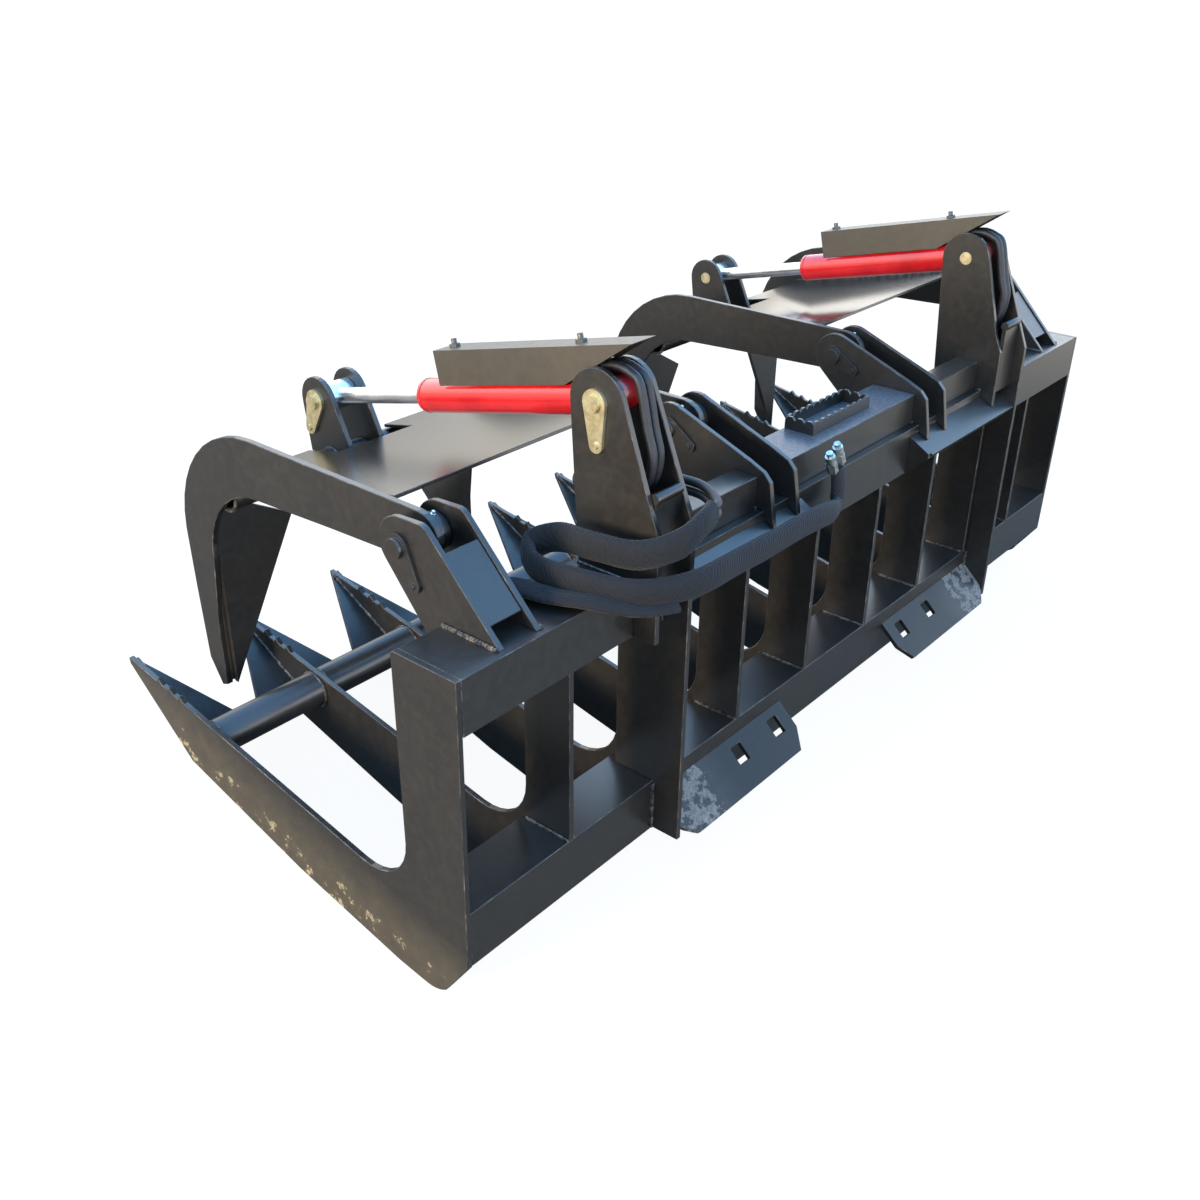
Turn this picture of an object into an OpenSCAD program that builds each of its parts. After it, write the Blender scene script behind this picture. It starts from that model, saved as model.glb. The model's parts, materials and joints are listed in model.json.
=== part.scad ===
// Root grapple bucket: a welded tine frame with two hinged grapples, each closed by its own cylinder.
// Every piece is first placed with Y = 0 on the top beam's rear face and Z = 0 on its top face,
// +Y to the loader and X across. stand() then leans the whole part onto the tines' bottom facet.

/* [Frame] */
// Overall width over the end plates
bucket_w = 2032; // [1960:4:2120]
// Thickness of the end plates and tines
tine_t = 10; // [8:1:12]
// Drop from the top face of the top beam to the top face of the lower beam
frame_h = 400; // [385:5:430]
// Depth of the top beam
beam_d = 122; // [116:1:128]
// Height of the top beam
beam_h = 91; // [84:1:100]
// Side of the square lower beam
sill_w = 100; // [90:2:110]
// Wall of both beams
beam_wall = 6; // [4:1:9]

/* [Tines] */
// Reach of the tine tips in front of the top beam's rear face
tip_reach = 848; // [800:4:900]
// Drop of the tine tips below the top beam
tip_drop = 300; // [290:2:312]
// Drop of the tines' top line below the top of the lower beam, where it meets the legs
throat_sink = 36; // [30:2:45]
// Radius of the inner corner between leg and tine
throat_r = 88; // [70:2:100]
// Length of the tines' bottom facet that the bucket rests on
skid_l = 247; // [235:1:260]
// Outer diameter of the front tube
tube_d = 63.5; // [57:0.5:68]
// Height of one saw tooth on a tine
saw_h = 9; // [6:1:12]
// Thickness of the spade wings
wing_t = 8; // [6:1:10]
// Slope of the spade wings in degrees
wing_slope = 28; // [26:1:30]

/* [Step and lips] */
// Height of the rails and the step box on the top beam
rail_h = 58; // [50:2:66]
// Depth of the rails
rail_d = 50; // [44:2:56]
// Depth of the step box
step_d = 92; // [80:2:96]
// Tooth pitch of the serrated step
tread_pitch = 22; // [20:1:25]
// Thickness of the coupling lips
lip_t = 10; // [8:1:12]
// Distance between the inner faces of the two coupler side plates
coupler_w = 1144; // [1136:2:1152]
// Thickness of the coupler side plates and towers
tower_t = 10; // [8:1:12]
// Clear gap between the two plates of a tower
tower_gap = 60; // [58:1:64]

/* [Grapples] */
// Distance of the outer arms from the bucket's ends
arm_inset = 134; // [126:1:142]
// Distance of the inner arms from the bucket's centre
arm_inner_x = 270; // [264:1:276]
// Thickness of the grapple arms
arm_t = 12; // [10:1:14]
// Depth of the arm beside its hinge
arm_depth = 82; // [76:1:88]
// Outer radius of the arm's elbow
elbow_r = 216; // [210:2:222]
// Thickness of the grapple sheet
sheet_t = 6; // [4:1:8]
// Clear gap between two hinge ears
ear_gap = 63; // [61:1:66]
// Thickness of the hinge ears and lug ears
ear_t = 10; // [8:1:12]
// Diameter of the grapple hinge pins
pivot_d = 30; // [26:1:34]
// Outer diameter of the hinge bosses
boss_d = 58; // [54:1:62]
// Diameter of the cross tube under the sheet
cross_d = 45; // [40:1:50]

/* [Cylinders] */
// Outer diameter of the barrel
barrel_d = 56; // [54:1:60]
// Wall of the barrel
barrel_wall = 5; // [4:0.5:6]
// Length of the barrel from its pin to the gland's face
barrel_l = 405; // [395:5:415]
// Diameter of the rod
rod_d = 28; // [25:1:30]
// Diameter of the cylinder pins
pin_d = 25; // [22:1:27]
// Diameter of the eyes on barrel and rod
eye_d = 50; // [48:1:54]
// Width of the guard over the barrel
guard_w = 54; // [53:1:56]
// Thickness of the guard's sheet
guard_t = 3; // [2:0.5:4]

/* [Hoses] */
// Diameter of the pressure hoses
hose_d = 14; // [12:0.5:15]
// Width of the woven hose sleeve
sleeve_w = 46; // [42:2:50]
// Thickness of the woven hose sleeve
sleeve_h = 24; // [20:1:28]

/* [Hidden] */

$fn = 48;
end_x = bucket_w / 2;
tine_gap = (bucket_w - tine_t) / 9;
round_gap = 0.3;
pin_gap = 0.1;

// Side view of the tines, as points [Y, Z].
tip = [-tip_reach, -tip_drop];
throat_drop = frame_h + throat_sink;
heel_drop = frame_h + sill_w + 81;
heel_y = -161;
under_y = -690;
under_depth = 150;
skid_rise = 50;
edge_slope = (throat_drop - tip_drop) / (tip_reach - beam_d);
function edge_z(y) = -tip_drop - edge_slope * (y + tip_reach);
rest_tilt = asin(skid_rise / skid_l);
sole_rear = [heel_y, -heel_drop];
sole_front = sole_rear + skid_l * [-cos(rest_tilt), sin(rest_tilt)];
tip_under = [under_y, -tip_drop - under_depth];
leg_front = -97;
leg_rear = -4;
end_front = -beam_d - 4;
sill_rear = -5;
sill_front = sill_rear - sill_w;
tube_cover = 2;
tube_y = -622;
tube_z = edge_z(tube_y) - (tube_d / 2 + round_gap + tube_cover) * sqrt(1 + edge_slope * edge_slope);
saw_y = [-757, -726, -696];
saw_l = 16;
wing_reach = 6;
wing_l = (tip_reach - wing_reach + tube_y - tube_d / 2 - 1) / cos(wing_slope);
wing_half = 100;

// Hinge, tower and lug points, as [Y, Z].
pivot = [-200, 96];
tower_pin = [-77, 261];
lug = [-718, 111];
stroke_axis = lug - tower_pin;
pin_span = norm(stroke_axis);
cyl_slope = atan2(-stroke_axis.y, -stroke_axis.x);
tower_r = 50;
tower_rear = 50;
left_tower_x = coupler_w / 2 + tower_t + tower_gap / 2;
right_tower_x = -coupler_w / 2 + tower_gap / 2;
tower_x = [left_tower_x, right_tower_x];
extra_x = [left_tower_x + tower_gap / 2, right_tower_x + tower_gap / 2];
extra_rear = [42, 28];
lip_slope = 30;
lip_z = -14;
lip_l = 56;
lip_blunt = 2;
lip_in_x = 205;
lip_out_x = coupler_w / 2;

// Grapple arm, as [Y, Z].
arm_half = arm_depth / 2;
outer_arm_x = end_x - arm_inset;
arm_top = pivot.y + arm_half;
elbow = [-592, arm_top - elbow_r];
inner_elbow_r = elbow_r - 62;
inner_elbow = [elbow.x + 11, elbow.y - 37];
fork_tip = [-768, -384];
fork_front = [[-804, -190], [-796, -335]];
fork_rear = [[-752, -378], [-752, -250]];
arm_under = [-402, 47];
fork_wing_slope = 0.549;
fork_wing_z = -86;
fork_wing_top = 1;
fork_wing_low = [-372, -340];
fork_wing_t = 10;
cross = [-688, 8];
sheet_rear = [-267, 128];
sheet_front = [-692, 33];
notch_half = 85;
notch_y = -615;
lug_r = 42;
lug_foot = [[-59, 4], [48, 37], [38, -6], [-32, -14]];
lug_gap = 60;
lug_x = tower_x;

// The leant part rests on the sole, its foremost points are the elbows and its rearmost the bottom lips.
function lean(p) =
    [p.x * cos(rest_tilt) - p.y * sin(rest_tilt), p.x * sin(rest_tilt) + p.y * cos(rest_tilt)];
bottom_lip_slope = 42.6;
bottom_lip_z = -frame_h - 30;
bottom_lip_l = 99;
bottom_lip_out = 10;
bottom_lip_rear = [sill_rear, bottom_lip_z] + bottom_lip_l * [cos(bottom_lip_slope), -sin(bottom_lip_slope)];
front_most = lean(elbow).x - elbow_r;
rear_most = lean(bottom_lip_rear).x;
shift_y = -(front_most + rear_most) / 2;
rest_h = -lean(sole_rear).y;

module stand() {
    translate([0, shift_y, rest_h]) rotate([rest_tilt, 0, 0]) children();
}

// Points of an arc about c, from angle a0 to a1.
function arc(c, r, a0, a1, n = 8) =
    [for (i = [0:n]) let (a = a0 + (a1 - a0) * i / n) c + r * [cos(a), sin(a)]];

function unit(v) = v / norm(v);

// Points that round the corner b between a and c with radius r.
function rounded(a, b, c, r, n = 6) =
    let (u = unit(a - b), v = unit(c - b), half = acos(u * v) / 2, mid = unit(u + v))
    let (o = b + mid * r / sin(half), p = b + u * r / tan(half) - o, q = b + v * r / tan(half) - o)
    let (a0 = atan2(p.y, p.x), turn = atan2(p.x * q.y - p.y * q.x, p * q))
    [for (i = [0:n]) o + r * [cos(a0 + turn * i / n), sin(a0 + turn * i / n)]];

// A plate in the YZ plane with its first face at x.
module plate(x, t, outline) {
    translate([x, 0, 0]) rotate([90, 0, 90]) linear_extrude(t) polygon(outline);
}

// A round bar along X about the point p, with its middle at x.
module bar_x(x, p, d, l) {
    translate([x - l / 2, p.x, p.y]) rotate([0, 90, 0]) cylinder(d = d, h = l);
}

module pipe_x(x, p, d, inner_d, l) {
    difference() {
        bar_x(x, p, d, l);
        bar_x(x, p, inner_d, l + 2);
    }
}

// A box from corner a to corner b.
module block(a, b) {
    translate(a) cube(b - a);
}

module both_sides() {
    children();
    mirror([1, 0, 0]) children();
}

// The top edge from the leg to the tip, with its saw teeth.
function tooth_edge(leg_y, leg_top) = concat(
    rounded([leg_y, leg_top], [leg_y, edge_z(leg_y)], tip, throat_r, 8),
    [for (y = [saw_y[2], saw_y[1], saw_y[0]]) each [
        [y + saw_l / 2, edge_z(y + saw_l / 2)],
        [y - saw_l / 2 + 4, edge_z(y) + saw_h],
        [y - saw_l / 2, edge_z(y - saw_l / 2)]]]);

module tube_hole() {
    bar_x(0, [tube_y, tube_z], tube_d + 2 * round_gap, bucket_w);
}

module end_plate(side) {
    heel = [-75, sole_rear.y - 10];
    outline = concat(
        [[0, 0], [-beam_d, 0], [end_front, -5]],
        tooth_edge(end_front, -5),
        [tip, tip - [-2, 12], tip_under, sole_front, sole_rear],
        rounded(sole_rear, heel, [sill_rear, heel.y + 60], 55, 5),
        [[sill_rear, -frame_h - sill_w]]);
    color("dimgray") plate(side > 0 ? end_x - tine_t : -end_x, tine_t, outline);
}

function tine_x(i) = -end_x + tine_t / 2 + tine_gap * i;

module tine(i) {
    outline = concat(
        [[leg_rear, -beam_h], [leg_front, -beam_h]],
        tooth_edge(leg_front, -beam_h),
        [tip, tip - [-2, 12], tip_under, sole_front, sole_rear],
        [[sole_rear.x + 35, sole_rear.y + 25], [sill_front, -frame_h - sill_w]],
        [[sill_front, -frame_h], [leg_rear, -frame_h]]);
    color("dimgray") difference() {
        plate(tine_x(i) - tine_t / 2, tine_t, outline);
        tube_hole();
    }
}

// One triangular wing beside a tine whose side face is at x, spreading to side.
module spade_wing(x, side) {
    translate([x, -tip_reach + wing_reach, -tip_drop - 4]) rotate([-wing_slope, 0, 0])
        translate([0, 0, -wing_t]) linear_extrude(wing_t)
            polygon([[0, 0], [side * wing_half, wing_l], [0, wing_l]]);
}

module spade_wings() {
    color("dimgray") for (i = [0:9]) {
        if (i < 9) spade_wing(tine_x(i) + tine_t / 2, 1);
        if (i > 0) spade_wing(tine_x(i) - tine_t / 2, -1);
    }
}

module front_tube() {
    color("dimgray") pipe_x(0, [tube_y, tube_z], tube_d, tube_d - 10, bucket_w - 2 * tine_t);
}

module beam(rear, top, d, h) {
    l = bucket_w - 2 * tine_t;
    difference() {
        block([-l / 2, rear - d, top - h], [l / 2, rear, top]);
        block([-l, rear - d + beam_wall, top - h + beam_wall], [l, rear - beam_wall, top - beam_wall]);
    }
}

module top_beam() {
    color("dimgray") beam(0, 0, beam_d, beam_h);
}

module lower_beam() {
    color("dimgray") beam(sill_rear, -frame_h, sill_w, sill_w);
}

rail_rear = -16;
rail_wall = 4;
ear_out = ear_gap / 2 + ear_t;

module box_rail(x0, x1, d) {
    difference() {
        block([x0, rail_rear - d, 0], [x1, rail_rear, rail_h]);
        block([x0 - 1, rail_rear - d + rail_wall, -1], [x1 + 1, rail_rear - rail_wall, rail_h - rail_wall]);
    }
}

module step_rails() {
    color("dimgray") {
        box_rail(arm_inner_x + ear_out, coupler_w / 2, rail_d);
        box_rail(extra_x[1] + tower_t, -arm_inner_x - ear_out, rail_d);
    }
}

step_half = arm_inner_x - ear_out;

module step_box() {
    color("dimgray") box_rail(-step_half, step_half, step_d);
}

tread_half = 99;
tread_x = -5;
tread_front = rail_rear - step_d + 2;
tread_d = 60;
tread_h = 24;
tread_t = 5;
tread_dip = 8;

// A strip with a toothed top, along X from the origin.
module toothed_strip(l) {
    teeth = round(l / tread_pitch);
    pitch = l / teeth;
    crown = [for (i = [0:teeth - 1]) each [
        [(i + 0.1) * pitch, tread_h - tread_dip / 2],
        [(i + 0.3) * pitch, tread_h],
        [(i + 0.7) * pitch, tread_h],
        [(i + 0.9) * pitch, tread_h - tread_dip / 2],
        [(i + 1) * pitch, tread_h - tread_dip]]];
    rotate([90, 0, 0]) linear_extrude(tread_t)
        polygon(concat([[0, 0], [0, tread_h - tread_dip]], crown, [[l, 0]]));
}

module step_tread() {
    color("dimgray") for (side = [-1, 1]) translate([tread_x, tread_front + tread_d / 2, rail_h]) {
        translate([-tread_half, side * (tread_d - tread_t) / 2 + tread_t / 2, 0])
            toothed_strip(2 * tread_half);
        translate([side * (tread_half - tread_t / 2) - tread_t / 2, -tread_d / 2, 0])
            rotate([0, 0, 90]) toothed_strip(tread_d);
    }
}

gusset_y = 44;

// The sloped lip that the loader's coupler hooks under. Its sharp inner corner is blunted.
lip_root = lip_z - lip_t / cos(lip_slope);
lip_end = [lip_l * cos(lip_slope), lip_z - lip_l * sin(lip_slope)];

module top_lip() {
    plate(lip_in_x, lip_out_x - lip_in_x, [[0, lip_z], lip_end,
        lip_end - lip_t * [sin(lip_slope), cos(lip_slope)],
        [lip_blunt * cos(lip_slope), lip_root - lip_blunt * sin(lip_slope)], [0, lip_root + lip_blunt]]);
    plate(lip_in_x - ear_t, ear_t, [[0, lip_z], [gusset_y, lip_z - gusset_y * tan(lip_slope)],
        [gusset_y, lip_z - lip_t - gusset_y * tan(lip_slope)], [0, -beam_h]]);
}

module top_lips() {
    color("dimgray") both_sides() top_lip();
}

// Outline of a tower above the beam, ending at the rear edge behind it.
function tower_head(rear) = concat(
    [[-beam_d + 12, 0]],
    arc(tower_pin, tower_r, 186, 18, 12),
    [[rear - 16, 122], [rear, 85]]);

module pin_bore(x, p, d) {
    bar_x(x, p, d + 2 * pin_gap, 4 * ear_gap);
}

side_front = -86;

module side_plate(x) {
    low = -frame_h - sill_w + 3;
    outline = concat(
        tower_head(tower_rear),
        [[tower_rear, low], [sill_rear, low], [sill_rear, -frame_h], [side_front, -frame_h],
            [side_front, -beam_h], [0, -beam_h], [0, 0]]);
    color("dimgray") difference() {
        plate(x, tower_t, outline);
        pin_bore(x, tower_pin, pin_d);
    }
}

module tower_plates() {
    lip_at = lip_z + round_gap - extra_rear[1] * tan(lip_slope);
    color("dimgray") {
        difference() {
            plate(extra_x[0], tower_t, concat(tower_head(extra_rear[0]),
                [[extra_rear[0], -beam_h], [0, -beam_h], [0, 0]]));
            pin_bore(extra_x[0], tower_pin, pin_d);
        }
        difference() {
            plate(extra_x[1], tower_t, concat(tower_head(extra_rear[1]),
                [[extra_rear[1], lip_at], [0, lip_z + round_gap], [0, 0]]));
            pin_bore(extra_x[1], tower_pin, pin_d);
        }
    }
}

web_rear = 28;
web_top = 130;
web_t = 8;
web_rod_d = 16;

module tower_webs() {
    color("dimgray") for (x = tower_x) {
        block([x - tower_gap / 2, web_rear - web_t, 0], [x + tower_gap / 2, web_rear, web_top]);
        bar_x(x, [web_rear - web_t / 2, web_top + web_rod_d / 2], web_rod_d, tower_gap);
    }
}

slot_x = 30;
slot_l = 34;
lip_slots = [242, 357];

module bottom_lip() {
    near = 195;
    far = coupler_w / 2;
    cut = 26;
    outline = [[near, -lip_t], [near, bottom_lip_l - 40], [near + cut, bottom_lip_l],
        [far - 34, bottom_lip_l], [far - bottom_lip_out, bottom_lip_l - 20], [far, bottom_lip_l - 34],
        [far, -lip_t]];
    translate([0, sill_rear, bottom_lip_z]) rotate([-bottom_lip_slope, 0, 0]) difference() {
        translate([0, 0, -lip_t]) linear_extrude(lip_t) polygon(outline);
        for (x = lip_slots) block([x - slot_x / 2, 18, -2 * lip_t], [x + slot_x / 2, 18 + slot_l, lip_t]);
        rotate([bottom_lip_slope, 0, 0]) block([0, -4 * lip_t, -4 * lip_t], [far + 1, 0, 4 * lip_t]);
    }
}

module bottom_lips() {
    color("dimgray") both_sides() bottom_lip();
}

ear_r = 44;
ear_corner = [-150, pivot.y + 46];

// The outer ears reach over the beam's top front corner and down its front face.
function outer_ear() = concat(
    [[-11, 0], [-beam_d, 0], [-beam_d, -72], [-beam_d - 26, -34]],
    arc(pivot, ear_r, 218, 98, 10),
    rounded(pivot + [0, 46], ear_corner, [-11, 0], 22, 4));

function inner_ear() = concat(
    [[0, 0], [-beam_d, 0], [-180, 20]],
    arc(pivot, ear_r, 222, 75, 12),
    [[-35, 80], [-6, 67], [8, 52]],
    [[22, lip_z + 2 - 22 * tan(lip_slope)], [0, lip_z + 2]]);

module ear_pair(x, outline) {
    difference() {
        union() {
            plate(x - ear_gap / 2 - ear_t, ear_t, outline);
            plate(x + ear_gap / 2, ear_t, outline);
        }
        pin_bore(x, pivot, pivot_d);
    }
}

module hinge_ears(side) {
    color("dimgray") {
        ear_pair(side * outer_arm_x, outer_ear());
        ear_pair(side * arm_inner_x, inner_ear());
    }
}

ear_heel = [-11, 0];
web_dir = unit(ear_heel - ear_corner);
web_from = 46;
web_to = 162;
web_sink = 3;

// A plate between two outer ears, just under their slanted rear edges.
module ear_webs() {
    normal = [-web_dir.y, web_dir.x];
    top = ear_corner + web_dir * web_from - normal * web_sink;
    low = ear_corner + web_dir * web_to - normal * web_sink;
    color("dimgray") for (x = [-outer_arm_x, outer_arm_x])
        plate(x - ear_gap / 2, ear_gap, [top, low, low - normal * ear_t, top - normal * ear_t]);
}

head_d = 42;
head_t = 8;
flag_t = 6;
bolt_d = 12;

// A pin with a head and a flag plate, held by one bolt at offset from the pin.
module flag_pin(x, p, d, half, offset, dir) {
    face = x + dir * half;
    reach = norm(offset);
    turn = atan2(offset.y, offset.x);
    translate([face + (dir > 0 ? round_gap : -round_gap - flag_t), p.x, p.y])
        rotate([90, 0, 90]) rotate([0, 0, turn]) linear_extrude(flag_t)
            polygon(concat(arc([0, 0], head_d / 2, 70, 290, 12), arc([reach, 0], bolt_d, -70, 70, 8)));
    bar_x(x + dir * (flag_t + round_gap + head_t) / 2, p, d, 2 * half + flag_t + head_t);
    bar_x(face + dir * (round_gap + flag_t / 2 + head_t / 4), p + offset, bolt_d - 2, flag_t + head_t / 2);
}

module hinge_pins() {
    half = ear_gap / 2 + ear_t;
    color("dimgray") {
        flag_pin(outer_arm_x, pivot, pivot_d, half, [29, -50], 1);
        flag_pin(arm_inner_x, pivot, pivot_d, half, [44, -20], 1);
        flag_pin(-arm_inner_x, pivot, pivot_d, half, [44, -20], 1);
        flag_pin(-outer_arm_x, pivot, pivot_d, half, [29, -50], 1);
    }
}

module tower_pins() {
    half = tower_gap / 2 + tower_t;
    color("goldenrod") {
        flag_pin(left_tower_x, tower_pin, pin_d, half, [4, -62], 1);
        flag_pin(right_tower_x, tower_pin, pin_d, half, [4, -62], -1);
    }
}

coupler_foot = [132, 28, 32];
coupler_apart = 25;
coupler_lean = 25;

module hose_couplers() {
    color("silver") translate(coupler_foot) rotate([0, coupler_lean, 0])
        for (x = [-coupler_apart / 2, coupler_apart / 2]) translate([x, 0, 0]) {
            cylinder(d = 20, h = 20, $fn = 6);
            translate([0, 0, 20]) cylinder(d = 18, h = 16);
            translate([0, 0, 36]) cylinder(d = 12, h = 8);
        }
}

// Grapple pieces. side is 1 on the left and -1 on the right.
function arm_outline() = concat(
    arc(pivot, arm_half, -90, 90, 10),
    arc(elbow, elbow_r, 90, 180, 10),
    fork_front,
    [fork_tip],
    fork_rear,
    [[inner_elbow.x - inner_elbow_r, inner_elbow.y]],
    arc(inner_elbow, inner_elbow_r, 170, 90, 8),
    [arm_under]);

module arm(x) {
    color("dimgray") difference() {
        plate(x - arm_t / 2, arm_t, arm_outline());
        pin_bore(x, pivot, pivot_d);
    }
}

// The triangular plate behind an arm's tooth, widening upwards.
module arm_wing(x, dir, low) {
    face = x + dir * arm_t / 2;
    wide = fork_wing_slope * (fork_wing_z - fork_wing_low[0]);
    foot = fork_wing_slope * (low - fork_wing_low[0]);
    translate([face, fork_rear[1].x + 17, 0]) rotate([90, 0, 0]) linear_extrude(fork_wing_t)
        polygon([[0, low], [dir * foot, low], [dir * wide, fork_wing_z], [0, fork_wing_top]]);
}

// An inner arm's plate stops above the spade wings.
module arm_wings(side) {
    color("dimgray") {
        arm_wing(side * outer_arm_x, -side, fork_wing_low[0] + 0.1);
        arm_wing(side * arm_inner_x, side, fork_wing_low[1]);
    }
}

module pivot_bosses(side) {
    boss_l = (ear_gap - arm_t) / 2 - 1;
    color("dimgray") for (x = [outer_arm_x, arm_inner_x]) for (dir = [-1, 1])
        pipe_x(side * x + dir * (arm_t + boss_l) / 2, pivot, boss_d, pivot_d + 2 * pin_gap, boss_l);
}

module grapple_sheet(side) {
    lug_at = side > 0 ? lug_x[0] : lug_x[1];
    dir = unit(sheet_front - sheet_rear);
    normal = [dir.y, -dir.x];
    low = side > 0 ? arm_inner_x + arm_t / 2 : -outer_arm_x + arm_t / 2;
    high = side > 0 ? outer_arm_x - arm_t / 2 : -arm_inner_x - arm_t / 2;
    color("dimgray") difference() {
        plate(low, high - low,
            [sheet_rear, sheet_front, sheet_front + normal * sheet_t, sheet_rear + normal * sheet_t]);
        block([lug_at - notch_half, sheet_front.x - 50, -50], [lug_at + notch_half, notch_y, 150]);
    }
}

module cross_tube(side) {
    l = outer_arm_x - arm_inner_x - arm_t;
    color("dimgray") pipe_x(side * (outer_arm_x + arm_inner_x) / 2, cross, cross_d, cross_d - 8, l);
}

module lug_ears(side) {
    at = side > 0 ? lug_x[0] : lug_x[1];
    outline = concat(
        [cross + lug_foot[0]],
        arc(lug, lug_r, 190, 27, 12),
        [cross + lug_foot[1], cross + lug_foot[2], cross + lug_foot[3]]);
    color("dimgray") difference() {
        union() {
            plate(at - lug_gap / 2 - ear_t, ear_t, outline);
            plate(at + lug_gap / 2, ear_t, outline);
        }
        pin_bore(at, lug, pin_d);
        bar_x(at, cross, cross_d + 2 * round_gap, 2 * lug_gap);
    }
}

// The lug pin is slimmer between its ears, where the rod's eye needs room to swing.
neck_d = 13;

module lug_pin(side) {
    at = side > 0 ? lug_x[0] : lug_x[1];
    half = lug_gap / 2 + ear_t;
    color("goldenrod") difference() {
        flag_pin(at, lug, pin_d, half, [-18, -52], side);
        pipe_x(at, lug, pin_d + 2, neck_d, lug_gap);
    }
}

// Cylinders. Their own frame has its origin on the barrel's pin, u along the rod and v up.
module along_cylinder(side) {
    at = side > 0 ? tower_x[0] : tower_x[1];
    translate([at, tower_pin.x, tower_pin.y]) rotate([cyl_slope, 0, 0]) mirror([0, 1, 0]) children();
}

// A round bar along u from u0 to u1.
module bar_u(u0, u1, d) {
    translate([0, u0, 0]) rotate([-90, 0, 0]) cylinder(d = d, h = u1 - u0);
}

eye_l = tower_gap - 2;
gland_l = 34;
bore_d = barrel_d - 2 * barrel_wall;
base_u = 46;
collar_d = barrel_d + 8;
collar_l = 12;

module barrel(side) {
    color("red") along_cylinder(side) difference() {
        union() {
            translate([-eye_l / 2, 0, 0]) rotate([0, 90, 0]) cylinder(d = eye_d, h = eye_l);
            bar_u(eye_d / 4, barrel_l - collar_l, barrel_d);
        }
        translate([-eye_l, 0, 0]) rotate([0, 90, 0]) cylinder(d = pin_d + 2 * pin_gap, h = 2 * eye_l);
        bar_u(base_u, barrel_l, bore_d);
    }
}

module gland(side) {
    color("firebrick") along_cylinder(side) difference() {
        union() {
            bar_u(barrel_l - gland_l, barrel_l - collar_l, bore_d - 2 * round_gap);
            bar_u(barrel_l - collar_l, barrel_l, collar_d);
        }
        bar_u(barrel_l - gland_l - 1, barrel_l + 1, rod_d + 2 * pin_gap);
    }
}

guard_top = 78;
guard_low = 22;
guard_front = barrel_l - 65;
guard_tail = -71;
guard_nose = 69;
post_u = [46, guard_front - 24];
post_d = 14;

module guard(side) {
    side_view = [[guard_nose, guard_low], [guard_front, guard_low],
        [guard_front, guard_top], [guard_tail, guard_top]];
    color("dimgray") along_cylinder(side) {
        difference() {
            translate([-guard_w / 2, 0, 0]) rotate([90, 0, 90]) linear_extrude(guard_w) polygon(side_view);
            block([-guard_w / 2 + guard_t, guard_tail - 1, 0],
                [guard_w / 2 - guard_t, guard_front + 1, guard_top - guard_t]);
        }
        for (u = post_u) translate([0, u, barrel_d / 2 + round_gap])
            cylinder(d = post_d, h = guard_top - guard_t - barrel_d / 2 - round_gap);
        for (u = post_u) translate([0, u, guard_top]) {
            cylinder(d = 18, h = 5, $fn = 6);
            translate([0, 0, 5]) cylinder(d = 9, h = 8);
        }
    }
}

port_u = 24;
port_d = 15;
port_top = 46;

module port_fittings(side) {
    stem_low = eye_d / 2 - 3;
    color("silver") along_cylinder(side) difference() {
        for (dir = [-1, 1]) translate([dir * hose_apart, port_u, 0]) {
            translate([0, 0, stem_low]) cylinder(d = port_d, h = port_top - stem_low, $fn = 6);
            translate([0, 8, port_top]) rotate([90, 0, 0]) cylinder(d = port_d, h = port_u + 8);
        }
        bar_u(0, barrel_l, barrel_d + 2 * round_gap);
    }
}

piston_l = 30;
piston_u = barrel_l - gland_l - piston_l - 4;
rod_bore_d = 40;

module rod(side) {
    color("lightgray") along_cylinder(side) difference() {
        union() {
            bar_u(piston_u, piston_u + piston_l, bore_d - 2 * pin_gap);
            bar_u(piston_u, pin_span - rod_bore_d / 2 - 2, rod_d);
            translate([-eye_l / 2, pin_span, 0]) rotate([0, 90, 0]) cylinder(d = eye_d, h = eye_l);
        }
        translate([-eye_l, pin_span, 0]) rotate([0, 90, 0]) cylinder(d = rod_bore_d, h = 2 * eye_l);
    }
}

// Hoses: a curve through hand-chosen points, swept as one closed tube.
function spline(p, k, s) =
    let (a = p[max(k - 1, 0)], b = p[k], c = p[k + 1], d = p[min(k + 2, len(p) - 1)])
    0.5 * (2 * b + (c - a) * s + (2 * a - 5 * b + 4 * c - d) * s * s + (3 * b - a - 3 * c + d) * s * s * s);

function route(p, n) =
    concat([for (k = [0:len(p) - 2]) for (i = [0:n - 1]) spline(p, k, i / n)], [p[len(p) - 1]]);

function ring(c, t, ref, w, h, sides) =
    let (a = unit(cross(t, ref)), b = cross(a, t))
    [for (i = [0:sides - 1]) c + a * w / 2 * cos(360 * i / sides) + b * h / 2 * sin(360 * i / sides)];

// ref is a direction that the route never runs along.
module hose(points, w, h, ref, n = 3, sides = 8) {
    path = route(points, n);
    last = len(path) - 1;
    verts = [for (i = [0:last]) each
        ring(path[i], unit(path[min(i + 1, last)] - path[max(i - 1, 0)]), ref, w, h, sides)];
    walls = [for (i = [0:last - 1]) for (j = [0:sides - 1]) let (k = (j + 1) % sides) each [
        [i * sides + j, (i + 1) * sides + k, (i + 1) * sides + j],
        [i * sides + j, i * sides + k, (i + 1) * sides + k]]];
    ends = [[for (j = [sides - 1:-1:0]) j], [for (j = [0:sides - 1]) last * sides + j]];
    polyhedron(verts, concat(ends, walls), convexity = 10);
}

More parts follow.
